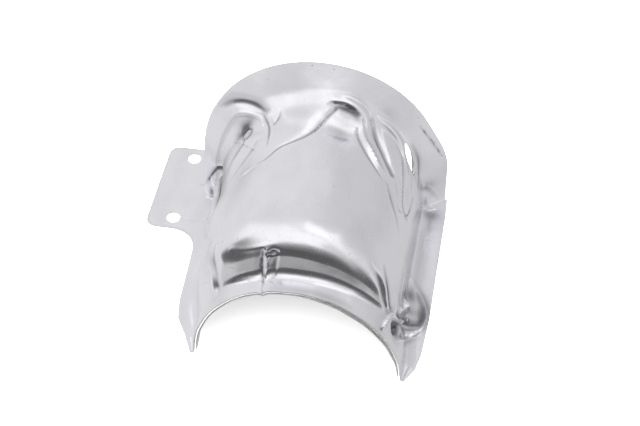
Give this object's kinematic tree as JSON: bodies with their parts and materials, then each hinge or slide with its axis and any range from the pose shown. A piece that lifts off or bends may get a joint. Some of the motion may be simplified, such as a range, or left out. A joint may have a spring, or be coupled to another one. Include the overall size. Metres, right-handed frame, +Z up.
{
  "type": "exhaust manifold heat shield",
  "caption": "Pressed aluminium heat shield that covers an exhaust manifold outlet: half-pipe hood with a front collar, rear flare, flat foot flanges and a bolt tab.",
  "frame": {"origin": "under the middle of the bounding box, on the plane of the flat flanges", "axes": "+Z up out of the flange plane, +Y from the plain collar towards the flared rear end, +X to the right when looking along +Y, away from the bolt tab"},
  "size_m": [0.192, 0.173, 0.1066],
  "materials": {
    "bright_skin": "bright mill-finish sheet, stretched and lightly crumpled by the press",
    "fibre_mat": "needled glass-fibre felt",
    "inner_skin": "dull mill-finish sheet with fine rolling lines"
  },
  "bodies": {
    "root": {"outer_skin": "bright_skin", "insulation_mat": "fibre_mat", "inner_skin": "inner_skin"}
  },
  "joints": []
}
